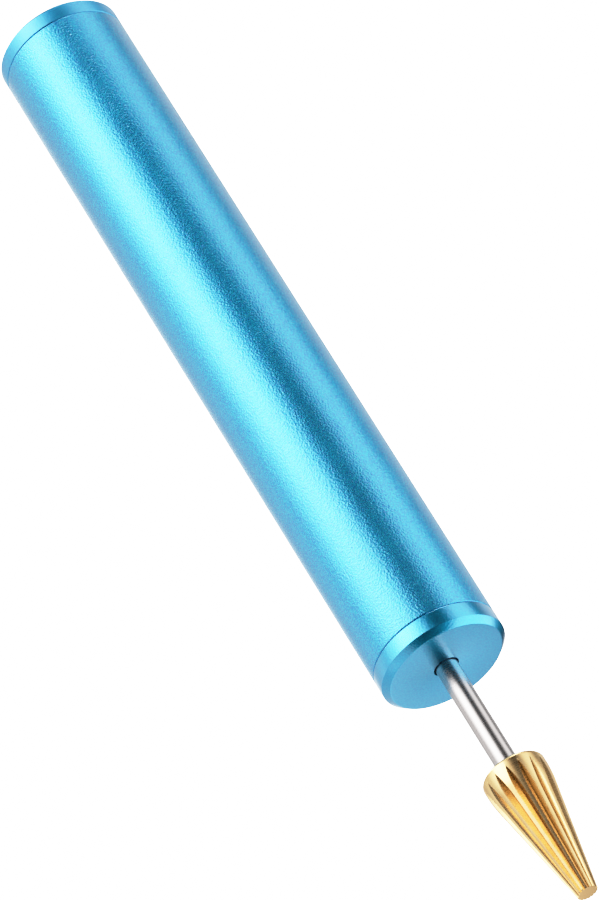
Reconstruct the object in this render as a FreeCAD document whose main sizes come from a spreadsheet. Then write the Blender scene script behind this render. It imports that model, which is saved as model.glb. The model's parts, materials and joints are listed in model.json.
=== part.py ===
import FreeCAD, Part
import math
import os
import re
import Sketcher

# Edge dye roller pen: a closed aluminium handle holds a two-bearing cartridge, and the cartridge
# carries a thin steel spindle with a fluted brass roller on its end.
# The axis of the pen is +Z. Z = 0 is the flat face of the rear cap. Millimetres and degrees.

os.makedirs("parts", exist_ok=True)
doc = FreeCAD.newDocument("edge_dye_roller_pen")

# ---------------------------------------------------------------- driving dimensions

DIMENSIONS = [
    ("handle_diameter", 17.0, "outside of the tube and of both caps"),
    ("handle_length", 110.4, "rear face to front face, caps included"),
    ("tube_bore", 11.0, "bore of the tube between its two end sockets"),
    ("spigot_diameter", 13.0, "pressed spigots of the caps and outside of the carrier"),
    ("front_lip", 3.0, "part of the front cap that shows"),
    ("rear_lip", 2.5, "part of the rear cap that shows"),
    ("spigot_length", 7.0, "depth of each cap's spigot in the tube"),
    ("cap_floor", 3.0, "solid thickness behind each cap's outer face"),
    ("cap_hollow", 9.0, "diameter of the hollow in each spigot"),
    ("front_chamfer", 0.8, "chamfer round the front face"),
    ("rear_chamfer", 0.5, "chamfer round the rear face"),
    ("seam_chamfer", 0.12, "edge break on both sides of each seam"),
    ("shaft_hole", 3.4, "clearance hole in the front cap"),
    ("carrier_length", 26.0, "bearing carrier, rear end to the front cap's spigot"),
    ("carrier_lip", 3.0, "carrier's inner shoulder behind the rear bearing"),
    ("carrier_lip_bore", 6.6, "bore through that shoulder"),
    ("washer_height", 0.5, "fitted height of the preload washer"),
    ("washer_thickness", 0.12, "strip thickness of the preload washer"),
    ("washer_waves", 3, "waves round the preload washer"),
    ("washer_clearance", 0.1, "room round the washer"),
    ("washer_play", 0.01, "room above and below the washer's crests"),
    ("bearing_outer", 8.0, "693 bearing: outside diameter"),
    ("bearing_width", 4.0, "693 bearing: width"),
    ("bearing_gap", 10.0, "between the two bearings"),
    ("race_chamfer", 0.15, "chamfer on the races"),
    ("ball_diameter", 1.588, "1/16 inch balls"),
    ("ball_pitch", 5.5, "diameter of the circle the ball centres run on"),
    ("ball_count", 7, "balls in each bearing"),
    ("ball_clearance", 0.03, "between a ball and its raceway"),
    ("inner_land", 4.3, "outside diameter of the inner race"),
    ("outer_land", 6.7, "inside diameter of the outer race"),
    ("shield_seat", 7.2, "recess in the outer race that holds a shield"),
    ("shield_recess", 0.35, "depth of that recess"),
    ("shield_thickness", 0.2, "sheet thickness of a shield"),
    ("shield_clearance", 0.1, "radial gap between a shield and the inner race"),
    ("cage_wall", 0.6, "radial thickness of the cage"),
    ("cage_back", 1.25, "closed side of the cage, from the ball centres"),
    ("cage_front", 0.35, "open side of the cage, from the ball centres"),
    ("pocket_clearance", 0.04, "between a ball and its pocket"),
    ("snap_ring_width", 0.7, "radial width of the snap ring"),
    ("snap_ring_thickness", 0.8, "axial thickness of the snap ring"),
    ("snap_ring_bite", 0.2, "depth of its groove in the carrier"),
    ("snap_ring_arc", 325.0, "arc of the snap ring, the rest is its gap"),
    ("shaft_diameter", 3.0, "spindle shaft, also the bore of everything on it"),
    ("shaft_reach", 17.15, "shaft that shows between the front cap and the roller"),
    ("shaft_seat", 11.5, "shaft pressed into the roller"),
    ("shaft_tail", 1.4, "shaft behind the rear clip"),
    ("shaft_chamfer", 0.2, "chamfer on both ends of the shaft"),
    ("clip_diameter", 6.0, "E-clip for a 2.3 mm groove: outside diameter"),
    ("clip_groove", 2.3, "diameter of the clip's groove in the shaft"),
    ("clip_thickness", 0.6, "E-clip thickness, also the width of its groove"),
    ("clip_mouth", 2.05, "width of the E-clip's mouth"),
    ("clip_relief", 1.3, "diameter of the two reliefs beside the middle prong"),
    ("relief_across", 1.2, "reliefs, distance to either side of the mouth's middle line"),
    ("relief_back", 0.7, "reliefs, distance behind the shaft's axis"),
    ("groove_overcut", 0.5, "how far the groove's cutter stands out of the shaft"),
    ("shim_diameter", 4.2, "shims and spacer between the inner races and the clips"),
    ("shim_thickness", 0.3, "thickness of a shim"),
    ("roller_length", 19.35, "roller, back face to tip"),
    ("roller_belt", 8.44, "largest diameter of the roller"),
    ("roller_tip", 2.76, "diameter of the cone at the tip face"),
    ("belt_length", 2.57, "back face to where belt and cone would meet"),
    ("belt_blend", 15.0, "radius that blends the belt into the cone"),
    ("belt_round", 0.6, "rounding of the back edge"),
    ("tip_chamfer", 0.08, "edge break round the tip face"),
    ("roller_bore_depth", 12.0, "blind bore for the shaft"),
    ("flute_count", 16, "flutes round the roller"),
    ("flute_turn", 5.8, "back face to where the bottom of a flute becomes straight"),
    ("flute_depth", 0.77, "depth of the flute below the cone there"),
    ("flute_tip_depth", 0.24, "depth of the flute below the cone at the tip"),
    ("cutter_height", 1.0, "height of the cutter's V profile"),
    ("cutter_width", 1.3, "width of the cutter's V profile at that height"),
    ("cutter_radius", 17.0, "radius on which the cutter leaves the metal"),
    ("cutter_sweep", 21.0, "angle of that run-out"),
    ("flute_phase", 4.0, "turn of the roller about the axis at rest"),
]

# Places and sizes that follow from the driving dimensions, as formulas over their names.
DERIVED = {
    "handle_radius": "handle_diameter / 2",
    "spigot_radius": "spigot_diameter / 2",
    "front_seam": "handle_length - front_lip",
    "rear_socket_floor": "rear_lip + spigot_length",
    "carrier_front": "front_seam - spigot_length",
    "carrier_rear": "carrier_front - carrier_length",
    "washer_seat": "carrier_rear + carrier_lip",
    "rear_bearing": "washer_seat + washer_height + bearing_width / 2",
    "front_bearing": "rear_bearing + bearing_width + bearing_gap",
    "rear_inner_face": "rear_bearing - bearing_width / 2",
    "front_inner_face": "front_bearing + bearing_width / 2",
    "rear_clip_place": "rear_inner_face - shim_thickness - clip_thickness",
    "front_clip_place": "front_inner_face + shim_thickness",
    "shaft_rear": "rear_clip_place - shaft_tail",
    "roller_back": "handle_length + shaft_reach",
    "shaft_length": "roller_back + shaft_seat - shaft_rear",
    "raceway_radius": "ball_diameter / 2 + ball_clearance",
    "race_half_width": "bearing_width / 2",
    "shield_floor": "race_half_width - shield_recess",
    "pocket_radius": "ball_diameter / 2 + pocket_clearance",
    "cone_drop": "(roller_belt - roller_tip) / 2",
    "cone_run": "roller_length - belt_length",
    "flute_turn_cone": "roller_belt / 2 - (flute_turn - belt_length) * cone_drop / cone_run",
    "flute_turn_radius": "flute_turn_cone - flute_depth",
    "flute_tip_radius": "roller_tip / 2 - flute_tip_depth",
}
ALIASES = [name for name, size, meaning in DIMENSIONS]

sheet = doc.addObject("Spreadsheet::Sheet", "Dimensions")
for row, (name, size, meaning) in enumerate(DIMENSIONS, start=1):
    sheet.set(f"A{row}", name)
    sheet.set(f"B{row}", str(size))
    sheet.set(f"C{row}", meaning)
    sheet.setAlias(f"B{row}", name)
doc.recompute()


def bound(formula):
    """Spell a formula out over the cells of the sheet."""
    def spell(match):
        word = match.group(0)
        if word in DERIVED:
            return "(" + bound(DERIVED[word]) + ")"
        return "Dimensions." + word if word in ALIASES else word
    return re.sub(r"[A-Za-z_]\w*", spell, formula)


def value(formula):
    """Present value of a formula."""
    return float(sheet.evalExpression(bound(formula)))


# ---------------------------------------------------------------- shared building steps

def new_body(name, height="0"):
    """Empty body whose own origin sits on the pen's axis at the given height."""
    body = doc.addObject("PartDesign::Body", name)
    body.Label = name
    body.setExpression(".Placement.Base.z", bound(height))
    return body


def origin_part(body, role):
    return next(item for item in body.Origin.OriginFeatures if item.Role == role)


def new_sketch(body, name, plane="XZ_Plane"):
    sketch = body.newObject("Sketcher::SketchObject", name)
    sketch.AttachmentSupport = [(origin_part(body, plane), "")]
    sketch.MapMode = "FlatFace"
    return sketch


def hold(sketch, kind, geometry, point, formula):
    """Hold a point of the sketch at a distance from its origin."""
    index = sketch.addConstraint(Sketcher.Constraint(kind, -1, 1, geometry, point, value(formula)))
    sketch.setExpression(f"Constraints[{index}]", bound(formula))


def polygon(sketch, corners):
    """Closed outline through corners, each given as two formulas."""
    spots = [FreeCAD.Vector(value(across), value(along), 0) for across, along in corners]
    sides = range(len(spots))
    for side in sides:
        sketch.addGeometry(Part.LineSegment(spots[side - 1], spots[side]), False)
    for side in sides:
        before = side - 1 if side else sides[-1]
        sketch.addConstraint(Sketcher.Constraint("Coincident", before, 2, side, 1))
    for side, (across, along) in enumerate(corners):
        hold(sketch, "DistanceX", side, 2, across)
        hold(sketch, "DistanceY", side, 2, along)


def circle(sketch, radius, across="0", along="0"):
    """Circle of a given radius about a point of the sketch."""
    centre = FreeCAD.Vector(value(across), value(along), 0)
    ring = sketch.addGeometry(Part.Circle(centre, FreeCAD.Vector(0, 0, 1), value(radius)), False)
    size = sketch.addConstraint(Sketcher.Constraint("Radius", ring, value(radius)))
    sketch.setExpression(f"Constraints[{size}]", bound(radius))
    hold(sketch, "DistanceX", ring, 3, across)
    hold(sketch, "DistanceY", ring, 3, along)


def turn(body, kind, sketch, name, angle="360"):
    """Revolve a sketch about the axis: kind is Revolution (adds) or Groove (cuts)."""
    feature = body.newObject("PartDesign::" + kind, name)
    feature.Profile = (sketch, [""])
    feature.ReferenceAxis = (sketch, ["V_Axis"])
    feature.setExpression("Angle", bound(angle))
    doc.recompute()
    return feature


def turned_body(name, height, corners):
    """Body turned on a lathe from an outline of (radius, height) corners."""
    body = new_body(name, height)
    sketch = new_sketch(body, name + "_outline")
    polygon(sketch, corners)
    turn(body, "Revolution", sketch, name + "_turned")
    return body


SAME = 1e-6


def round_edges(body, radius, height):
    """Names of the full circles of this radius at this height in the body's own frame."""
    names = []
    for number, edge in enumerate(body.Tip.Shape.Edges, start=1):
        if not isinstance(edge.Curve, Part.Circle):
            continue
        same_size = abs(edge.Curve.Radius - value(radius)) < SAME
        if same_size and abs(edge.Curve.Center.z - value(height)) < SAME:
            names.append(f"Edge{number}")
    return names


def break_edge(body, kind, name, edges, size):
    """Chamfer or Fillet on edges given as (radius, height) pairs."""
    names = [found for radius, height in edges for found in round_edges(body, radius, height)]
    feature = body.newObject("PartDesign::" + kind, name)
    feature.Base = (body.Group[-2], names)
    feature.setExpression("Size" if kind == "Chamfer" else "Radius", bound(size))
    doc.recompute()
    return feature


def cut_through(body, name, draw, depth):
    """Pocket along +Z from the body's own XY plane; draw fills its sketch."""
    sketch = new_sketch(body, name + "_sketch", "XY_Plane")
    draw(sketch)
    pocket = body.newObject("PartDesign::Pocket", name)
    pocket.Profile = (sketch, [""])
    pocket.Reversed = True
    pocket.setExpression("Length", bound(depth))
    doc.recompute()
    return pocket


def repeat_round(body, name, features, count):
    """Polar pattern of features about the axis."""
    pattern = body.newObject("PartDesign::PolarPattern", name)
    pattern.Originals = features
    pattern.Axis = (origin_part(body, "Z_Axis"), [""])
    pattern.Angle = 360
    pattern.setExpression("Occurrences", bound(count))
    body.Tip = pattern
    doc.recompute()
    return pattern


# ---------------------------------------------------------------- handle

def handle_tube():
    """Tube with a socket at each end for the caps and the carrier."""
    front_socket = "carrier_rear - rear_lip"
    end = "front_seam - rear_lip"
    body = turned_body("handle_tube", "rear_lip", [
        ("spigot_radius", "0"),
        ("handle_radius", "0"),
        ("handle_radius", end),
        ("spigot_radius", end),
        ("spigot_radius", front_socket),
        ("tube_bore / 2", front_socket),
        ("tube_bore / 2", "spigot_length"),
        ("spigot_radius", "spigot_length"),
    ])
    seams = [("handle_radius", "0"), ("handle_radius", end)]
    break_edge(body, "Chamfer", "seam_breaks", seams, "seam_chamfer")
    return body


def rear_cap():
    """Flush cap with a hollow spigot; its flat face is what the pen stands on."""
    body = turned_body("rear_cap", "0", [
        ("0", "0"),
        ("handle_radius", "0"),
        ("handle_radius", "rear_lip"),
        ("spigot_radius", "rear_lip"),
        ("spigot_radius", "rear_socket_floor"),
        ("cap_hollow / 2", "rear_socket_floor"),
        ("cap_hollow / 2", "cap_floor"),
        ("0", "cap_floor"),
    ])
    break_edge(body, "Chamfer", "face_chamfer", [("handle_radius", "0")], "rear_chamfer")
    break_edge(body, "Chamfer", "seam_break", [("handle_radius", "rear_lip")], "seam_chamfer")
    return body


def front_cap():
    """Flush cap with a clearance hole for the shaft and room behind it for the front clip."""
    body = turned_body("front_cap", "carrier_front", [
        ("shaft_hole / 2", "spigot_length + front_lip"),
        ("shaft_hole / 2", "spigot_length + front_lip - cap_floor"),
        ("cap_hollow / 2", "spigot_length + front_lip - cap_floor"),
        ("cap_hollow / 2", "0"),
        ("spigot_radius", "0"),
        ("spigot_radius", "spigot_length"),
        ("handle_radius", "spigot_length"),
        ("handle_radius", "spigot_length + front_lip"),
    ])
    face = [("handle_radius", "spigot_length + front_lip")]
    break_edge(body, "Chamfer", "face_chamfer", face, "front_chamfer")
    break_edge(body, "Chamfer", "seam_break", [("handle_radius", "spigot_length")], "seam_chamfer")
    return body


# ---------------------------------------------------------------- bearing cartridge

def bearing_carrier():
    """Sleeve pressed into the tube; holds both bearings against its inner shoulder."""
    snap_groove = "front_inner_face - carrier_rear"
    body = turned_body("bearing_carrier", "carrier_rear", [
        ("carrier_lip_bore / 2", "0"),
        ("spigot_radius", "0"),
        ("spigot_radius", "carrier_length"),
        ("bearing_outer / 2", "carrier_length"),
        ("bearing_outer / 2", "carrier_lip"),
        ("carrier_lip_bore / 2", "carrier_lip"),
    ])
    sketch = new_sketch(body, "snap_groove_outline")
    polygon(sketch, [
        ("bearing_outer / 2", snap_groove),
        ("bearing_outer / 2 + snap_ring_bite", snap_groove),
        ("bearing_outer / 2 + snap_ring_bite", snap_groove + " + snap_ring_thickness"),
        ("bearing_outer / 2", snap_groove + " + snap_ring_thickness"),
    ])
    turn(body, "Groove", sketch, "snap_groove")
    return body


def carrier_snap_ring():
    """Open ring in the carrier's groove that holds the front outer race in."""
    outside = "bearing_outer / 2 + snap_ring_bite"
    body = new_body("carrier_snap_ring", "front_inner_face")
    sketch = new_sketch(body, "ring_section")
    polygon(sketch, [
        (outside + " - snap_ring_width", "0"),
        (outside, "0"),
        (outside, "snap_ring_thickness"),
        (outside + " - snap_ring_width", "snap_ring_thickness"),
    ])
    turn(body, "Revolution", sketch, "open_ring", "snap_ring_arc")
    return body


STEPS_PER_WAVE = 24


def preload_washer():
    """Wave washer that pushes the rear outer race forward and takes up end play."""
    inside = value("carrier_lip_bore / 2")
    outside = value("bearing_outer / 2 - washer_clearance")
    thickness = value("washer_thickness")
    swing = value("(washer_height - washer_thickness) / 2 - washer_play")
    waves = int(value("washer_waves"))
    steps = STEPS_PER_WAVE * waves

    def wavy_ring(radius):
        spots = []
        for step in range(steps):
            angle = 2 * math.pi * step / steps
            lift = swing * math.sin(waves * angle)
            spots.append(FreeCAD.Vector(radius * math.cos(angle), radius * math.sin(angle), lift))
        curve = Part.BSplineCurve()
        curve.interpolate(spots, PeriodicFlag=True)
        return Part.Wire([curve.toShape()])

    strip = Part.makeRuledSurface(wavy_ring(inside), wavy_ring(outside))
    washer = doc.addObject("Part::Feature", "preload_washer")
    washer.Label = "preload_washer"
    washer.Shape = strip.extrude(FreeCAD.Vector(0, 0, thickness))
    middle = "washer_seat + (washer_height - washer_thickness) / 2"
    washer.setExpression(".Placement.Base.z", bound(middle))
    return washer


def outer_race(name, height):
    body = turned_body(name, height, [
        ("outer_land / 2", "0 - shield_floor"),
        ("shield_seat / 2", "0 - shield_floor"),
        ("shield_seat / 2", "0 - race_half_width"),
        ("bearing_outer / 2", "0 - race_half_width"),
        ("bearing_outer / 2", "race_half_width"),
        ("shield_seat / 2", "race_half_width"),
        ("shield_seat / 2", "shield_floor"),
        ("outer_land / 2", "shield_floor"),
    ])
    raceway(body)
    faces = [("bearing_outer / 2", "race_half_width"), ("bearing_outer / 2", "0 - race_half_width")]
    break_edge(body, "Chamfer", "face_chamfers", faces, "race_chamfer")
    return body


def inner_race(name, height):
    body = turned_body(name, height, [
        ("shaft_diameter / 2", "0 - race_half_width"),
        ("inner_land / 2", "0 - race_half_width"),
        ("inner_land / 2", "race_half_width"),
        ("shaft_diameter / 2", "race_half_width"),
    ])
    raceway(body)
    faces = [("shaft_diameter / 2", "race_half_width"), ("shaft_diameter / 2", "0 - race_half_width")]
    break_edge(body, "Chamfer", "bore_chamfers", faces, "race_chamfer")
    return body


def raceway(body):
    """Round groove that the balls run in."""
    sketch = new_sketch(body, "raceway_section")
    circle(sketch, "raceway_radius", "ball_pitch / 2")
    turn(body, "Groove", sketch, "raceway")


def shield(name, height):
    """Thin disc in the outer race's recess, just clear of the inner race."""
    return turned_body(name, height, [
        ("inner_land / 2 + shield_clearance", "0"),
        ("shield_seat / 2", "0"),
        ("shield_seat / 2", "shield_thickness"),
        ("inner_land / 2 + shield_clearance", "shield_thickness"),
    ])


def ball_primitive(body, kind, radius):
    """Sphere on the ball circle: kind is AdditiveSphere or SubtractiveSphere."""
    sphere = body.newObject("PartDesign::" + kind, "ball")
    sphere.AttachmentSupport = [(origin_part(body, "XY_Plane"), "")]
    sphere.MapMode = "FlatFace"
    sphere.setExpression(".AttachmentOffset.Base.x", bound("ball_pitch / 2"))
    sphere.setExpression("Radius", bound(radius))
    doc.recompute()
    return sphere


def balls(name, height):
    body = new_body(name, height)
    ball = ball_primitive(body, "AdditiveSphere", "ball_diameter / 2")
    repeat_round(body, "ball_ring", [ball], "ball_count")
    return body


def cage(name, height):
    """Crown cage: a ring whose pockets snap over the balls from one side."""
    inside = "(ball_pitch - cage_wall) / 2"
    outside = "(ball_pitch + cage_wall) / 2"
    body = turned_body(name, height, [
        (inside, "0 - cage_back"),
        (outside, "0 - cage_back"),
        (outside, "cage_front"),
        (inside, "cage_front"),
    ])
    pocket = ball_primitive(body, "SubtractiveSphere", "pocket_radius")
    repeat_round(body, "pockets", [pocket], "ball_count")
    return body


def bearing(prefix, centre):
    """The six pieces of one shielded ball bearing."""
    return [
        outer_race(prefix + "_outer_race", centre),
        inner_race(prefix + "_inner_race", centre),
        cage(prefix + "_cage", centre),
        balls(prefix + "_balls", centre),
        shield(prefix + "_shield_front", centre + " + shield_floor"),
        shield(prefix + "_shield_back", centre + " - shield_floor - shield_thickness"),
    ]


# ---------------------------------------------------------------- spindle

def spindle_shaft():
    """Straight ground shaft with a groove for each clip."""
    radius = "shaft_diameter / 2"
    body = turned_body("spindle_shaft", "shaft_rear", [
        ("0", "0"),
        (radius, "0"),
        (radius, "shaft_length"),
        ("0", "shaft_length"),
    ])
    for name, place in (("rear_groove", "rear_clip_place"), ("front_groove", "front_clip_place")):
        start = place + " - shaft_rear"
        sketch = new_sketch(body, name + "_outline")
        polygon(sketch, [
            ("clip_groove / 2", start),
            (radius + " + groove_overcut", start),
            (radius + " + groove_overcut", start + " + clip_thickness"),
            ("clip_groove / 2", start + " + clip_thickness"),
        ])
        turn(body, "Groove", sketch, name)
    ends = [(radius, "0"), (radius, "shaft_length")]
    break_edge(body, "Chamfer", "end_chamfers", ends, "shaft_chamfer")
    return body


def bearing_spacer():
    """Sleeve on the shaft that sets the distance between the two inner races."""
    return turned_body("bearing_spacer", "rear_bearing + race_half_width", [
        ("shaft_diameter / 2", "0"),
        ("shim_diameter / 2", "0"),
        ("shim_diameter / 2", "bearing_gap"),
        ("shaft_diameter / 2", "bearing_gap"),
    ])


def shim(name, height):
    return turned_body(name, height, [
        ("shaft_diameter / 2", "0"),
        ("shim_diameter / 2", "0"),
        ("shim_diameter / 2", "shim_thickness"),
        ("shaft_diameter / 2", "shim_thickness"),
    ])


def clip(name, height):
    """E-clip: a disc with a mouth, gripping the groove with three prongs."""
    body = new_body(name, height)
    disc = new_sketch(body, "disc_outline", "XY_Plane")
    circle(disc, "clip_diameter / 2")
    pad = body.newObject("PartDesign::Pad", "disc")
    pad.Profile = (disc, [""])
    pad.setExpression("Length", bound("clip_thickness"))
    doc.recompute()
    cut_through(body, "grip", lambda sketch: circle(sketch, "clip_groove / 2"), "clip_thickness")
    cut_through(body, "mouth", lambda sketch: polygon(sketch, [
        ("0", "0 - clip_mouth / 2"),
        ("clip_diameter", "0 - clip_mouth / 2"),
        ("clip_diameter", "clip_mouth / 2"),
        ("0", "clip_mouth / 2"),
    ]), "clip_thickness")
    for relief, across in (("relief_left", "relief_across"), ("relief_right", "0 - relief_across")):
        def draw(sketch):
            circle(sketch, "clip_relief / 2", "0 - relief_back", across)
        cut_through(body, relief, draw, "clip_thickness")
    return body


def roller_head():
    """Brass cone with a belt behind it, a blind bore for the shaft and V-shaped flutes."""
    belt = "roller_belt / 2"
    tip = "roller_tip / 2"
    body = turned_body("roller_head", "roller_back", [
        ("0", "0"),
        (belt, "0"),
        (belt, "belt_length"),
        (tip, "roller_length"),
        ("0", "roller_length"),
    ])
    break_edge(body, "Fillet", "belt_blend", [(belt, "belt_length")], "belt_blend")
    break_edge(body, "Fillet", "back_edge", [(belt, "0")], "belt_round")
    break_edge(body, "Chamfer", "tip_edge", [(tip, "roller_length")], "tip_chamfer")
    bore = "shaft_diameter / 2"
    cut_through(body, "shaft_bore", lambda sketch: circle(sketch, bore), "roller_bore_depth")
    repeat_round(body, "flutes", [flute_run(body), flute_run_out(body)], "flute_count")
    body.Placement.Rotation = FreeCAD.Rotation(FreeCAD.Vector(0, 0, 1), value("flute_phase"))
    return body


def flute_section(body, name):
    """V profile of the cutter, point inwards, square to the flute where its bottom becomes straight."""
    slope = value("(flute_turn_radius - flute_tip_radius) / (roller_length - flute_turn)")
    lean = FreeCAD.Rotation(FreeCAD.Vector(0, 1, 0), -math.degrees(math.atan(slope)))
    section = new_sketch(body, name, "XY_Plane")
    section.AttachmentOffset = FreeCAD.Placement(FreeCAD.Vector(), lean)
    section.setExpression(".AttachmentOffset.Base.x", bound("flute_turn_radius"))
    section.setExpression(".AttachmentOffset.Base.z", bound("flute_turn"))
    polygon(section, [
        ("0", "0"),
        ("cutter_height", "0 - cutter_width / 2"),
        ("cutter_height", "cutter_width / 2"),
    ])
    return section


def flute_run(body):
    """Straight stretch of a flute, out through the tip."""
    pocket = body.newObject("PartDesign::Pocket", "flute_run")
    pocket.Profile = (flute_section(body, "flute_section"), [""])
    pocket.Reversed = True
    pocket.setExpression("Length", bound("roller_length"))
    doc.recompute()
    return pocket


def flute_run_out(body):
    """Back end of a flute, where the cutter swings out of the metal."""
    section = flute_section(body, "run_out_section")
    reach = value("cutter_radius")
    pivot = section.addGeometry(
        Part.LineSegment(FreeCAD.Vector(reach, -1, 0), FreeCAD.Vector(reach, 1, 0)), True)
    hold(section, "DistanceX", pivot, 1, "cutter_radius")
    hold(section, "DistanceX", pivot, 2, "cutter_radius")
    groove = body.newObject("PartDesign::Groove", "flute_run_out")
    groove.Profile = (section, [""])
    groove.ReferenceAxis = (section, ["Axis0"])
    groove.Reversed = True
    groove.setExpression("Angle", bound("cutter_sweep"))
    doc.recompute()
    return groove


# ---------------------------------------------------------------- assembly

pieces = [
    handle_tube(),
    front_cap(),
    rear_cap(),
    bearing_carrier(),
    carrier_snap_ring(),
    preload_washer(),
    *bearing("front", "front_bearing"),
    *bearing("rear", "rear_bearing"),
    spindle_shaft(),
    bearing_spacer(),
    shim("front_shim", "front_inner_face"),
    shim("rear_shim", "rear_inner_face - shim_thickness"),
    clip("front_clip", "front_clip_place"),
    clip("rear_clip", "rear_clip_place"),
    roller_head(),
]
doc.recompute()

for item in doc.Objects:
    if "Invalid" in item.State or "Error" in item.State:
        raise RuntimeError(f"{item.Label} did not build: {item.State}")
for piece in pieces:
    shape = piece.Shape
    if shape.isNull() or not shape.isValid():
        raise RuntimeError(f"{piece.Label} has no valid shape")
    shape.exportStep(f"parts/{piece.Label}.step")
    print(f"{piece.Label:20s} {len(shape.Solids)} solid(s) {shape.Volume:10.3f} mm3")
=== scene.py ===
import json
import math
from collections import namedtuple

import bmesh
import bpy
from mathutils import Matrix, Vector


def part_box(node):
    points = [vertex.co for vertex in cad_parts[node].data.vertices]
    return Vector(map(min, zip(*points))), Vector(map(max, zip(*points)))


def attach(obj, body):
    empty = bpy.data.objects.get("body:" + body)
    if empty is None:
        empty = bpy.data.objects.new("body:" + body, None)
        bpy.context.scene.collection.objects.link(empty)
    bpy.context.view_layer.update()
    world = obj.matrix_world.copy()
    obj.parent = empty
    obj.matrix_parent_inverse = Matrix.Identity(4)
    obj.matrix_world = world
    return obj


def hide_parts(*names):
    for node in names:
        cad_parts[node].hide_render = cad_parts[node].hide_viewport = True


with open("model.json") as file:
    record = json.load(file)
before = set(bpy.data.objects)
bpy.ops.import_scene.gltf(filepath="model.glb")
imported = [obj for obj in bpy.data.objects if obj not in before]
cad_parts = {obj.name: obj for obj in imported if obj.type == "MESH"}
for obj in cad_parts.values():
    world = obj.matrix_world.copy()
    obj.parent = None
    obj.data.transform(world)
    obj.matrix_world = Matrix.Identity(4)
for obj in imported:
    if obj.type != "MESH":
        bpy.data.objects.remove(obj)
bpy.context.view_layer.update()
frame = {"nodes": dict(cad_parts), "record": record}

# Edge dye roller pen, standing on its rear cap with its axis along +Z. Lengths are in millimetres
# until a mesh is written, where MM turns them into metres.

MM = 0.001


def top(node):
    """Height of a CAD node's top."""
    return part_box(node)[1].z / MM


def bottom(node):
    """Height of a CAD node's underside."""
    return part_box(node)[0].z / MM


def radius(node):
    """Largest distance of a round CAD node from the axis."""
    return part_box(node)[1].y / MM


# ---------------------------------------------------------------- meshes

CORNER_STEPS = 6
ROUND_STEPS = 180
SHARP_ANGLE = 28
POINT_SIZE = 1e-6


def arc_corner(before, corner, after, size):
    """Points that round a corner of an outline with an arc of the given radius."""
    to_before = (before - corner).normalized()
    to_after = (after - corner).normalized()
    half = to_before.angle(to_after) / 2
    centre = corner + (to_before + to_after).normalized() * size / math.sin(half)
    start = corner + to_before * size / math.tan(half) - centre
    end = corner + to_after * size / math.tan(half) - centre
    sweep = start.angle(end)
    points = []
    for step in range(CORNER_STEPS + 1):
        share = step / CORNER_STEPS
        mix = start * math.sin((1 - share) * sweep) + end * math.sin(share * sweep)
        points.append(centre + mix / math.sin(sweep))
    return points


def rounded(corners):
    """Closed outline from (radius, height, rounding) corners."""
    spots = [Vector((size, height)) for size, height, rounding in corners]
    points = []
    for index, (size, height, rounding) in enumerate(corners):
        if rounding:
            after = spots[(index + 1) % len(spots)]
            points += arc_corner(spots[index - 1], spots[index], after, rounding)
        else:
            points.append(spots[index])
    return points


def finish_mesh(name, build, sharp=SHARP_ANGLE):
    """Object from a bmesh, smooth except across edges that turn by more than the given angle."""
    bmesh.ops.recalc_face_normals(build, faces=build.faces)
    mesh = bpy.data.meshes.new(name)
    build.to_mesh(mesh)
    build.free()
    mesh.shade_smooth()
    mesh.set_sharp_from_angle(angle=math.radians(sharp))
    piece = bpy.data.objects.new(name, mesh)
    bpy.context.scene.collection.objects.link(piece)
    return piece


def ring(build, size, height, turns):
    """Ring of vertices about the axis, or one vertex on it."""
    if size < POINT_SIZE:
        return [build.verts.new((0, 0, height * MM))]
    spots = [(size * math.cos(turn), size * math.sin(turn), height) for turn in turns]
    return [build.verts.new(Vector(spot) * MM) for spot in spots]


def bridge(build, low, high):
    """Faces between two rings, either of which may be a single vertex."""
    count = max(len(low), len(high))
    for index in range(count):
        after = (index + 1) % count
        if len(low) == 1:
            corners = (low[0], high[after], high[index])
        elif len(high) == 1:
            corners = (low[index], low[after], high[0])
        else:
            corners = (low[index], low[after], high[after], high[index])
        build.faces.new(corners)


def lathe(name, corners, steps=ROUND_STEPS):
    """Piece turned about the axis from a closed outline."""
    build = bmesh.new()
    turns = [2 * math.pi * step / steps for step in range(steps)]
    points = rounded(corners)
    rings = [ring(build, point.x, point.y, turns) for point in points]
    for index in range(len(rings)):
        low, high = rings[index - 1], rings[index]
        if len(low) > 1 or len(high) > 1:
            bridge(build, low, high)
    return finish_mesh(name, build)


# ---------------------------------------------------------------- node helpers

# The colour sockets of a Mix node.
MIX_SHARE = 0
MIX_FIRST = 6
MIX_SECOND = 7
MIX_RESULT = 2


def add(tree, kind, inputs=None, **settings):
    """Shader node with its settings and inputs; an input is a value or another node's socket."""
    node = tree.nodes.new("ShaderNode" + kind)
    for key, setting in settings.items():
        setattr(node, key, setting)
    for key, given in (inputs or {}).items():
        if isinstance(given, bpy.types.NodeSocket):
            tree.links.new(given, node.inputs[key])
        else:
            node.inputs[key].default_value = given
    return node


def math_node(tree, operation, *values):
    """Result of one step of arithmetic."""
    return add(tree, "Math", dict(enumerate(values)), operation=operation).outputs[0]


def spot_position(tree):
    """Place on the piece in metres, which stays with the piece when it moves."""
    return add(tree, "TexCoord").outputs["Object"]


def noise(tree, spot, size_mm, detail, stretch=(1, 1, 1)):
    """Noise whose features are about size_mm across, stretched along the axes."""
    scale = [1 / (size_mm * MM * part) for part in stretch]
    scaled = add(tree, "VectorMath", {0: spot, 1: scale}, operation="MULTIPLY").outputs[0]
    return add(tree, "TexNoise", {"Vector": scaled, "Scale": 1.0, "Detail": detail}).outputs["Fac"]


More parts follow.
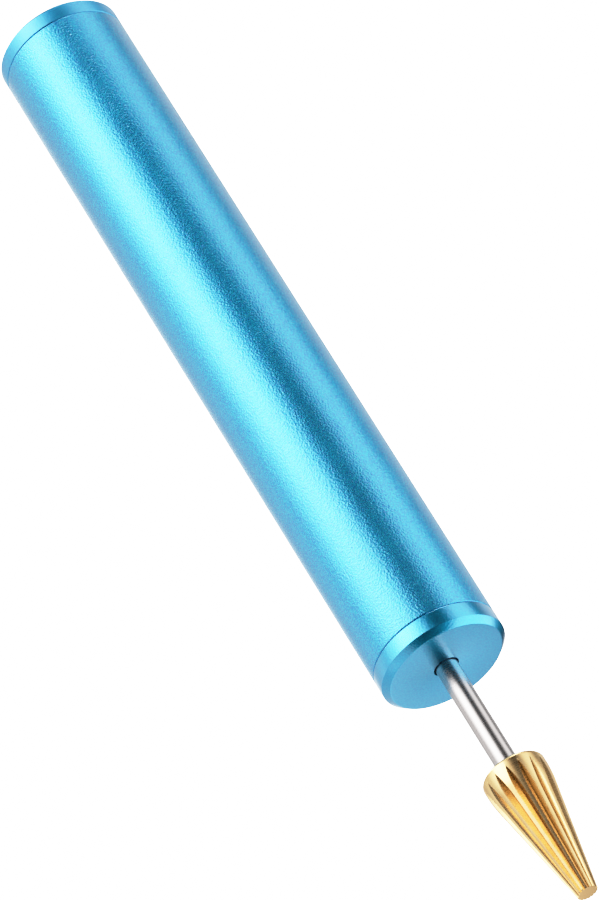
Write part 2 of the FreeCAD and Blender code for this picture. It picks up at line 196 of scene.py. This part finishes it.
def spread(tree, value, low, high, to_low=0.0, to_high=1.0):
    """Value's range low to high mapped smoothly onto to_low to to_high."""
    inputs = {"Value": value, "From Min": low, "From Max": high, "To Min": to_low, "To Max": to_high}
    return add(tree, "MapRange", inputs, interpolation_type="SMOOTHSTEP").outputs[0]


def mix_colour(tree, share, first, second):
    """Colour between two others, all first where share is 0 and all second where it is 1."""
    inputs = {MIX_SHARE: share, MIX_FIRST: first, MIX_SECOND: second}
    return add(tree, "Mix", inputs, data_type="RGBA").outputs[MIX_RESULT]


def new_material(name):
    """Material with an empty node tree."""
    material = bpy.data.materials.new(name)
    material.use_nodes = True
    material.node_tree.nodes.clear()
    return material


def surface(material, inputs):
    """Principled surface joined to the material's output."""
    tree = material.node_tree
    shader = add(tree, "BsdfPrincipled", inputs)
    add(tree, "OutputMaterial", {"Surface": shader.outputs[0]})


def bump(tree, height, depth_mm):
    """Normals of a surface that rises by depth_mm where height is 1."""
    return add(tree, "Bump", {"Height": height, "Distance": depth_mm * MM, "Strength": 1.0}).outputs[0]


# ---------------------------------------------------------------- materials

# Most of a noise's values lie in this range.
NOISE_RANGE = (0.3, 0.7)

GRAIN_SIZE = 0.17
FLECK_SIZE = 0.22
FLECK_RANGE = (0.25, 0.75)
CLOUD_SIZE = 9.0
CLOUD_SHADE = (0.46, 0.54)
CLOUD_ROUGH = 0.02
DEEP_BLUE = (0.001, 0.34, 0.82, 1)
PALE_BLUE = (0.012, 0.65, 1.0, 1)
OXIDE_INDEX = 1.82
OXIDE_WEAR = 0.4
OXIDE_BUMP = 0.085
BLAST_BUMP = 0.06


def anodised(name, contrast, rough, coat_rough):
    """Blue dyed oxide over bead-blasted aluminium: broad metal sheen under a satin sealed skin."""
    material = new_material(name)
    tree = material.node_tree
    spot = spot_position(tree)
    grain = noise(tree, spot, GRAIN_SIZE, detail=1.0)
    fleck = noise(tree, spot, FLECK_SIZE, detail=0.0)
    cloud = noise(tree, spot, CLOUD_SIZE, detail=3.0)
    shade = math_node(tree, "ADD", spread(tree, grain, *NOISE_RANGE, -contrast, contrast),
                      spread(tree, cloud, *NOISE_RANGE, *CLOUD_SHADE))
    surface(material, {
        "Base Color": mix_colour(tree, shade, DEEP_BLUE, PALE_BLUE),
        "Metallic": 1.0,
        "Roughness": spread(tree, cloud, *NOISE_RANGE, rough - CLOUD_ROUGH, rough + CLOUD_ROUGH),
        "Coat Weight": spread(tree, fleck, *FLECK_RANGE, 1 - OXIDE_WEAR * contrast, 1.0),
        "Coat Roughness": coat_rough,
        "Coat IOR": OXIDE_INDEX,
        "Coat Normal": bump(tree, fleck, OXIDE_BUMP * contrast),
        "Normal": bump(tree, fleck, BLAST_BUMP * contrast),
    })
    return material


STEEL_DARK = (0.57, 0.535, 0.525, 1)
STEEL_PALE = (0.61, 0.575, 0.562, 1)
STEEL_ROUGH = (0.26, 0.32)
GRINDING_SIZE = 0.05
GRINDING_STRETCH = (60, 60, 1)
GRINDING_BUMP = 0.0006


def ground_steel():
    """Centreless-ground rod: satin, with fine marks round it."""
    material = new_material("ground_steel")
    tree = material.node_tree
    marks = noise(tree, spot_position(tree), GRINDING_SIZE, detail=3.0, stretch=GRINDING_STRETCH)
    surface(material, {
        "Base Color": mix_colour(tree, marks, STEEL_DARK, STEEL_PALE),
        "Metallic": 1.0,
        "Roughness": spread(tree, marks, *NOISE_RANGE, *STEEL_ROUGH),
        "Normal": bump(tree, marks, GRINDING_BUMP),
    })
    return material


BRASS_PALE = (0.94, 0.635, 0.30, 1)
BRASS_STAINED = (0.88, 0.55, 0.24, 1)
# Painted shade in the flutes: the darker colour the brass turns to below the outer cone.
BRASS_FLUTE_SHADE = (0.88, 0.56, 0.245, 1)
BRASS_ROUGH = (0.25, 0.31)
STAIN_SIZE = 2.2
STAIN_RANGE = (0.35, 0.7)
# Depths in millimetres below the cone over which the painted flute shade sets in.
FLUTE_SHADE_DEPTHS = (0.12, 0.5)
TURNING_SIZE = 0.06
TURNING_STRETCH = (80, 80, 1)
TURNING_BUMP = 0.002


def below_cone(tree, spot):
    """Depth in millimetres below the roller's outer cone, which grows into a flute."""
    belt, back, high = radius("roller_head"), bottom("roller_head"), top("roller_head")
    taper = (belt - TIP_RADIUS) / (high - back - BELT_LENGTH)
    height = add(tree, "SeparateXYZ", {0: spot}).outputs[2]
    flat = add(tree, "VectorMath", {0: spot, 1: (1, 1, 0)}, operation="MULTIPLY").outputs[0]
    out = add(tree, "VectorMath", {0: flat}, operation="LENGTH").outputs["Value"]
    cone = math_node(tree, "MULTIPLY_ADD", height, -taper / MM, belt + (back + BELT_LENGTH) * taper)
    outside = math_node(tree, "MINIMUM", cone, belt)
    return math_node(tree, "SUBTRACT", outside, math_node(tree, "DIVIDE", out, MM))


def turned_brass():
    """Polished brass with faint turning rings, and painted shade in the flutes: darker the deeper below
    the cone.
    """
    material = new_material("turned_brass")
    tree = material.node_tree
    spot = spot_position(tree)
    rings = noise(tree, spot, TURNING_SIZE, detail=2.0, stretch=TURNING_STRETCH)
    stain = spread(tree, noise(tree, spot, STAIN_SIZE, detail=4.0), *STAIN_RANGE)
    polished = mix_colour(tree, stain, BRASS_PALE, BRASS_STAINED)
    # Painted shade: the brass turns darker the deeper it lies below the cone, in the flutes.
    flute_shade = spread(tree, below_cone(tree, spot), *FLUTE_SHADE_DEPTHS)
    surface(material, {
        "Base Color": mix_colour(tree, flute_shade, polished, BRASS_FLUTE_SHADE),
        "Metallic": 1.0,
        "Roughness": spread(tree, rings, *NOISE_RANGE, *BRASS_ROUGH),
        "Normal": bump(tree, rings, TURNING_BUMP),
    })
    return material


INNER_SHADE = 0.85
INNER_ROUGH_STEP = 0.08
INNER_BUMP = 0.0015


def plain_metal(name, colour, rough, marks_mm=0.05, stretch=(40, 40, 1)):
    """Inner steel or aluminium piece with fine machining marks."""
    material = new_material(name)
    tree = material.node_tree
    marks = noise(tree, spot_position(tree), marks_mm, detail=2.0, stretch=stretch)
    darker = [part * INNER_SHADE for part in colour]
    surface(material, {
        "Base Color": mix_colour(tree, marks, (*darker, 1), (*colour, 1)),
        "Metallic": 1.0,
        "Roughness": spread(tree, marks, *NOISE_RANGE, rough, rough + INNER_ROUGH_STEP),
        "Normal": bump(tree, marks, INNER_BUMP),
    })
    return material


NYLON_DARK = (0.72, 0.68, 0.56, 1)
NYLON_PALE = (0.80, 0.77, 0.67, 1)
NYLON_ROUGH = (0.42, 0.55)
NYLON_GRAIN = 0.12
NYLON_BUMP = 0.004


def nylon():
    """Moulded ball cage: pale, slightly translucent, with a fine mould grain."""
    material = new_material("nylon")
    tree = material.node_tree
    grain = noise(tree, spot_position(tree), NYLON_GRAIN, detail=3.0)
    surface(material, {
        "Base Color": mix_colour(tree, grain, NYLON_DARK, NYLON_PALE),
        "Roughness": spread(tree, grain, *NOISE_RANGE, *NYLON_ROUGH),
        "Subsurface Weight": 0.15,
        "Subsurface Scale": 0.0005,
        "Normal": bump(tree, grain, NYLON_BUMP),
    })
    return material


# ---------------------------------------------------------------- handle

TUBE_BORE = 5.5
CAP_HOLLOW = 4.5
SEAM_ROUND = 0.13
SEAM_GAP = 0.06
FRONT_CHAMFER = 0.8
REAR_CHAMFER = 0.5
CHAMFER_ROUND = 0.08
FACE_ROUND = 0.3
SHAFT_HOLE = 1.7
SHAFT_HOLE_ROUND = 0.05
CAP_FLOOR = 3.0


def place(piece, material, body, node):
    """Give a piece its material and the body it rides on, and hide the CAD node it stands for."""
    piece.data.materials.append(material)
    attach(piece, body)
    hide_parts(node)


def handle_tube(material):
    """Plain sleeve with rounded ends, bored out wider where the caps and the bearing carrier sit."""
    low, high = bottom("handle_tube") + SEAM_GAP, top("handle_tube") - SEAM_GAP
    outside, socket = radius("handle_tube"), radius("bearing_carrier")
    piece = lathe("tube_skin", [
        (outside, low, SEAM_ROUND),
        (outside, high, SEAM_ROUND),
        (socket, high, 0),
        (socket, bottom("bearing_carrier"), 0),
        (TUBE_BORE, bottom("bearing_carrier"), 0),
        (TUBE_BORE, top("rear_cap"), 0),
        (socket, top("rear_cap"), 0),
        (socket, low, 0),
    ])
    place(piece, material, "handle", "handle_tube")


def rear_cap(material):
    """Blind cap with a spigot in the tube."""
    low, seam, high = bottom("rear_cap"), bottom("handle_tube"), top("rear_cap")
    outside, spigot = radius("rear_cap"), radius("bearing_carrier")
    piece = lathe("rear_cap_skin", [
        (0, low, 0),
        (outside - REAR_CHAMFER, low, CHAMFER_ROUND),
        (outside, low + REAR_CHAMFER, CHAMFER_ROUND),
        (outside, seam, SEAM_ROUND),
        (spigot, seam, 0),
        (spigot, high, 0),
        (CAP_HOLLOW, high, 0),
        (CAP_HOLLOW, low + CAP_FLOOR, 0),
        (0, low + CAP_FLOOR, 0),
    ])
    place(piece, material, "handle", "rear_cap")


def front_cap(material):
    """Cap with a spigot in the tube and a hole for the shaft."""
    low, seam, high = bottom("front_cap"), top("handle_tube"), top("front_cap")
    outside, spigot = radius("front_cap"), radius("bearing_carrier")
    piece = lathe("front_cap_skin", [
        (SHAFT_HOLE, high, SHAFT_HOLE_ROUND),
        (SHAFT_HOLE, high - CAP_FLOOR, 0),
        (CAP_HOLLOW, high - CAP_FLOOR, 0),
        (CAP_HOLLOW, low, 0),
        (spigot, low, 0),
        (spigot, seam, 0),
        (outside, seam, SEAM_ROUND),
        (outside, high - FRONT_CHAMFER, CHAMFER_ROUND),
        (outside - FRONT_CHAMFER, high, FACE_ROUND),
    ])
    place(piece, material, "handle", "front_cap")


# ---------------------------------------------------------------- spindle

CLIP_GROOVE = 1.15
SHAFT_CHAMFER = 0.2
SHAFT_STEPS = 96


def spindle_shaft(material):
    """Rod with chamfered ends and a groove for each clip."""
    low, high, outside = bottom("spindle_shaft"), top("spindle_shaft"), radius("spindle_shaft")
    corners = [(0, low, 0), (outside - SHAFT_CHAMFER, low, 0), (outside, low + SHAFT_CHAMFER, 0)]
    for clip in ("rear_clip", "front_clip"):
        corners += [
            (outside, bottom(clip), 0),
            (CLIP_GROOVE, bottom(clip), 0),
            (CLIP_GROOVE, top(clip), 0),
            (outside, top(clip), 0),
        ]
    corners += [(outside, high - SHAFT_CHAMFER, 0), (outside - SHAFT_CHAMFER, high, 0), (0, high, 0)]
    place(lathe("shaft_skin", corners, SHAFT_STEPS), material, "spindle", "spindle_shaft")


# The roller's lengths run from its back face toward its tip.
BELT_LENGTH = 2.57
BELT_BLEND = 15.0
BELT_ROUND = 0.6
TIP_RADIUS = 1.38
TIP_ROUND = 0.08
SHAFT_BORE_DEPTH = 12.0
ROW_STEP = 0.16

# A flute's bottom is straight beyond FLUTE_TURN; behind it the cutter swings out of the metal.
FLUTES = 16
FLUTE_PHASE = math.radians(4)
FLUTE_TURN = 5.8
CUTTER_NOSE = 0.05
FLUTE_TURN_DEPTH = 0.77 - CUTTER_NOSE
FLUTE_TIP_DEPTH = 0.24 - CUTTER_NOSE
CUTTER_RADIUS = 17.0
CUTTER_SLOPE = 0.65
FLUTE_POINTS = 16
LAND_POINTS = 4

# Shares of the flutes' pitch: the widest a flute may be to either side, and the narrowest, which keeps
# a row's points apart where there is no flute.
WIDEST_FLUTE = 0.485
NARROWEST_FLUTE = 0.012
SEARCH_STEPS = 30
SHARP_FLUTE_ANGLE = 24


def roller_outline(belt, length):
    """(height, radius) points down the roller's side, from its back face to its tip face."""
    corners = [(0, 0, 0), (belt, 0, BELT_ROUND), (belt, BELT_LENGTH, BELT_BLEND),
               (TIP_RADIUS, length, TIP_ROUND), (0, length, 0)]
    points = [(point.y, point.x) for point in rounded(corners)[1:-1]]
    filled = [points[0]]
    for height, size in points[1:]:
        last_height, last_size = filled[-1]
        parts = max(1, round((height - last_height) / ROW_STEP))
        for part in range(1, parts + 1):
            share = part / parts
            between = last_height + (height - last_height) * share
            filled.append((between, last_size + (size - last_size) * share))
    return filled


def flute_floor(height, belt, length):
    """Distance of the flute's bottom from the axis: a straight line, run out by a disc cutter."""
    cone_size = belt - (FLUTE_TURN - BELT_LENGTH) * (belt - TIP_RADIUS) / (length - BELT_LENGTH)
    turn_size = cone_size - FLUTE_TURN_DEPTH
    slope = (turn_size - TIP_RADIUS + FLUTE_TIP_DEPTH) / (length - FLUTE_TURN)
    floor_size = turn_size + (FLUTE_TURN - height) * slope
    if height < FLUTE_TURN:
        floor_size += (FLUTE_TURN - height) ** 2 / (2 * CUTTER_RADIUS)
    return floor_size


def flute_wall(across, floor_size):
    """Distance of a flute's wall from the axis, square to the flute, at a point across from its middle."""
    return floor_size + math.hypot(across / CUTTER_SLOPE, CUTTER_NOSE) - CUTTER_NOSE


def roller_row(height, size, belt, length):
    """Turns and distances from the axis of one row of points round the roller.

    The place where a flute's wall meets the outside is found by halving.
    """
    pitch = 2 * math.pi / FLUTES
    floor_size = flute_floor(height, belt, length)
    narrow, wide = 0.0, size * math.sin(WIDEST_FLUTE * pitch)
    for step in range(SEARCH_STEPS):
        middle = (narrow + wide) / 2
        if flute_wall(middle, floor_size) < math.sqrt(size ** 2 - middle ** 2):
            narrow = middle
        else:
            wide = middle
    half = max(narrow, NARROWEST_FLUTE * size * pitch)
    reach = math.asin(half / size)
    spots = []
    for step in range(FLUTE_POINTS + 1):
        across = half * math.sin(math.pi * (step / FLUTE_POINTS - 0.5))
        out = min(flute_wall(across, floor_size), math.sqrt(size ** 2 - across ** 2))
        spots.append((math.atan2(across, out), math.hypot(across, out)))
    for step in range(1, LAND_POINTS):
        spots.append((reach + (pitch - 2 * reach) * step / LAND_POINTS, size))
    return [(FLUTE_PHASE + number * pitch + turn, far) for number in range(FLUTES) for turn, far in spots]


def roller_head(material):
    """Cone with a belt behind it, flutes along it and a blind bore for the shaft."""
    back, high = bottom("roller_head"), top("roller_head")
    belt, bore, length = radius("roller_head"), radius("spindle_shaft"), high - back
    build = bmesh.new()
    side = []
    for height, size in roller_outline(belt, length):
        row = roller_row(height, size, belt, length)
        spots = [(far * math.cos(turn), far * math.sin(turn), back + height) for turn, far in row]
        side.append([build.verts.new(Vector(spot) * MM) for spot in spots])
    turns = [turn for turn, far in roller_row(0, belt, belt, length)]
    tip = ring(build, 0, high, turns)
    bore_outline = ((0, back + SHAFT_BORE_DEPTH), (bore, back + SHAFT_BORE_DEPTH), (bore, back))
    rings = [ring(build, size, height, turns) for size, height in bore_outline] + side + [tip]
    for low, after in zip(rings, rings[1:]):
        bridge(build, low, after)
    piece = finish_mesh("roller_skin", build, SHARP_FLUTE_ANGLE)
    place(piece, material, "spindle", "roller_head")


# ---------------------------------------------------------------- build

handle_tube(anodised("blue_anodised", contrast=0.5, rough=0.44, coat_rough=0.22))
rear_cap(anodised("blue_anodised_rear", contrast=0.18, rough=0.5, coat_rough=0.3))
front_cap(anodised("blue_anodised_front", contrast=0.18, rough=0.34, coat_rough=0.15))
spindle_shaft(ground_steel())
roller_head(turned_brass())

INNER = {
    "turned_aluminium": plain_metal("turned_aluminium", (0.72, 0.73, 0.75), 0.3),
    "bearing_steel": plain_metal("bearing_steel", (0.62, 0.62, 0.64), 0.16),
    "ball_steel": plain_metal("ball_steel", (0.78, 0.78, 0.80), 0.05, marks_mm=0.3, stretch=(1, 1, 1)),
    "shield_steel": plain_metal("shield_steel", (0.66, 0.66, 0.67), 0.28),
    "spring_steel": plain_metal("spring_steel", (0.20, 0.19, 0.19), 0.4),
    "nylon": nylon(),
}
node_slot = {part["node"]: part["material_slot"] for part in frame["record"]["subparts"]}
for name, node in frame["nodes"].items():
    if node_slot[name] in INNER:
        node.data.materials.clear()
        node.data.materials.append(INNER[node_slot[name]])

# ---------------------------------------------------------------- studio

# Brightness that the picture shows as pure white.
WHITE = 4.0

VIEW_ELEVATION = math.radians(32.07)
VIEW_ROLL = math.radians(148.07)
VIEW_DISTANCE = 812.2
AIM = Vector((1.24, 0, 72.75))
FOCAL_LENGTH = 260
SENSOR_WIDTH = 36
NEAREST_SEEN = 0.01
FARTHEST_SEEN = 20


def camera():
    """Long lens above the pen, rolled so that the tip points to the lower right."""
    data = bpy.data.cameras.new("camera")
    data.lens = FOCAL_LENGTH
    data.sensor_width = SENSOR_WIDTH
    data.clip_start = NEAREST_SEEN
    data.clip_end = FARTHEST_SEEN
    forward = Vector((0, math.cos(VIEW_ELEVATION), -math.sin(VIEW_ELEVATION)))
    upright = Vector((0, math.sin(VIEW_ELEVATION), math.cos(VIEW_ELEVATION)))
    side = forward.cross(upright)
    right = side * math.cos(VIEW_ROLL) + upright * math.sin(VIEW_ROLL)
    up = right.cross(forward)
    item = bpy.data.objects.new("camera", data)
    turn = Matrix((right, up, -forward)).transposed()
    item.matrix_world = Matrix.Translation((AIM - forward * VIEW_DISTANCE) * MM) @ turn.to_4x4()
    bpy.context.scene.collection.objects.link(item)
    bpy.context.scene.camera = item


FLOOR_RADIUS = 6.0
FLOOR_EDGES = 96
FLOOR_DROP = 0.00005
FLOOR_GLOW = 0.85 * WHITE


def floor():
    """Pale, evenly lit floor, which the pen neither mirrors nor is lit by."""
    build = bmesh.new()
    bmesh.ops.create_circle(build, cap_ends=True, radius=FLOOR_RADIUS, segments=FLOOR_EDGES)
    for vert in build.verts:
        vert.co.z = -FLOOR_DROP
    piece = finish_mesh("floor", build)
    material = new_material("pale_floor")
    surface(material, {
        "Base Color": (0.9, 0.9, 0.9, 1),
        "Roughness": 0.9,
        "Emission Color": (1, 1, 1, 1),
        "Emission Strength": FLOOR_GLOW,
    })
    piece.data.materials.append(material)
    piece.visible_glossy = False
    piece.visible_diffuse = False


Panel = namedtuple("Panel", "centre half_width low high soft rim strength")

# Panels of the light tent, in degrees. centre and half_width are turns about the pen's axis, where 0 is
# toward the camera and + is toward the right of the picture. low and high are angles above the level.
# A panel fades out over soft degrees either way at its sides, and over rim degrees at its top and bottom.
# The handle mirrors what lies about 32 degrees below the level, and the roller about 13 degrees below it.
PANELS = [
    # The broad bright stripe left of the middle: its skirt, its core and its part on the roller.
    Panel(centre=-37, half_width=41, low=-68, high=-20, soft=11, rim=7, strength=1.75),
    Panel(centre=-33, half_width=20, low=-60, high=-20, soft=15, rim=7, strength=3.2),
    Panel(centre=-32, half_width=32, low=-20, high=-7, soft=10, rim=6, strength=2.8),
    # The dark stripe right of the middle, on the roller.
    Panel(centre=25, half_width=20, low=-24, high=4, soft=8, rim=6, strength=0.11),
    # The second bright stripe on the right: sheen, mirrored light and its part on the roller.
    Panel(centre=69, half_width=38, low=-72, high=-58, soft=12, rim=5, strength=6.4),
    Panel(centre=74, half_width=21, low=-47, high=-20, soft=10, rim=10, strength=1.6),
    Panel(centre=76, half_width=26, low=-20, high=8, soft=16, rim=8, strength=1.95),
    # The right side of the front chamfer.
    Panel(centre=98, half_width=36, low=14, high=75, soft=9, rim=8, strength=2.2),
    # The handle's right edge.
    Panel(centre=164, half_width=44, low=-50, high=-14, soft=14, rim=7, strength=0.82),
    # The front face.
    Panel(centre=162, half_width=44, low=16, high=56, soft=12, rim=8, strength=0.55),
    # The handle's left edge, and the left of the front face and chamfer.
    Panel(centre=-132, half_width=45, low=-50, high=80, soft=10, rim=10, strength=0.66),
    # The left side of the handle: mirrored light, and its part on the roller.
    Panel(centre=-94, half_width=22, low=-50, high=-20, soft=10, rim=8, strength=0.33),
    Panel(centre=-92, half_width=26, low=-20, high=0, soft=10, rim=8, strength=0.7),
    # The left side of the front chamfer.
    Panel(centre=-70, half_width=25, low=25, high=70, soft=10, rim=10, strength=0.85),
    # Light from below for the colour of the middle and of the left side.
    Panel(centre=-10, half_width=118, low=-74, high=-64, soft=20, rim=6, strength=1.1),
    Panel(centre=-96, half_width=36, low=-72, high=-57, soft=14, rim=5, strength=6.4),
]
TENT_GLOW = 0.02


def panel_light(tree, turn, lift, panel):
    """Brightness of a panel in the direction given by a turn about the axis and a lift above the level."""
    centred = math_node(tree, "SUBTRACT", turn, math.radians(panel.centre))
    off = math_node(tree, "ABSOLUTE", math_node(tree, "WRAP", centred, math.pi, -math.pi))
    inner, outer = panel.half_width - panel.soft, panel.half_width + panel.soft
    across = spread(tree, off, math.radians(inner), math.radians(outer), 1.0, 0.0)
    low_start, low_end = math.radians(panel.low - panel.rim), math.radians(panel.low + panel.rim)
    high_start, high_end = math.radians(panel.high - panel.rim), math.radians(panel.high + panel.rim)
    above = spread(tree, lift, low_start, low_end)
    below = spread(tree, lift, high_start, high_end, 1.0, 0.0)
    return math_node(tree, "MULTIPLY", math_node(tree, "MULTIPLY", across, panel.strength),
                     math_node(tree, "MULTIPLY", above, below))


def light_tent():
    """Soft light from all round, as a sum of large panels; the camera itself sees plain white."""
    world = bpy.data.worlds.new("studio")
    bpy.context.scene.world = world
    world.use_nodes = True
    tree = world.node_tree
    tree.nodes.clear()
    direction = add(tree, "TexCoord").outputs["Generated"]
    parts = add(tree, "SeparateXYZ", {0: direction}).outputs
    minus_x = math_node(tree, "MULTIPLY", parts[0], -1.0)
    minus_y = math_node(tree, "MULTIPLY", parts[1], -1.0)
    turn = math_node(tree, "ARCTAN2", minus_x, minus_y)
    lift = math_node(tree, "ARCSINE", parts[2])
    total = TENT_GLOW
    for panel in PANELS:
        total = math_node(tree, "ADD", total, panel_light(tree, turn, lift, panel))
    seen = add(tree, "LightPath").outputs["Is Camera Ray"]
    light = add(tree, "Background", {"Color": (1, 1, 1, 1), "Strength": total})
    plain = add(tree, "Background", {"Color": (1, 1, 1, 1), "Strength": WHITE})
    mixed = add(tree, "MixShader", {0: seen, 1: light.outputs[0], 2: plain.outputs[0]})
    add(tree, "OutputWorld", {"Surface": mixed.outputs[0]})


SHOULDER = 0.5
CURVE_LIGHTS = (0.25, 0.5, 0.6, 0.75, 1.0, 1.25, 1.5, 2.0, 2.5, 3.0)
ALL_COLOURS = 3


def tone_curve():
    """Soft shoulder: light up to SHOULDER is kept, WHITE is the first value shown as pure white."""
    view = bpy.context.scene.view_settings
    view.view_transform = "Standard"
    view.use_curve_mapping = True
    mapping = view.curve_mapping
    mapping.white_level = (WHITE, WHITE, WHITE)
    mapping.extend = "HORIZONTAL"
    curve = mapping.curves[ALL_COLOURS]
    for light in CURVE_LIGHTS:
        shown = light
        if light > SHOULDER:
            shown = 1 - (1 - SHOULDER) * math.exp((SHOULDER - light) / (1 - SHOULDER))
        curve.points.new(light / WHITE, shown)
    mapping.update()


camera()
floor()
light_tent()
tone_curve()
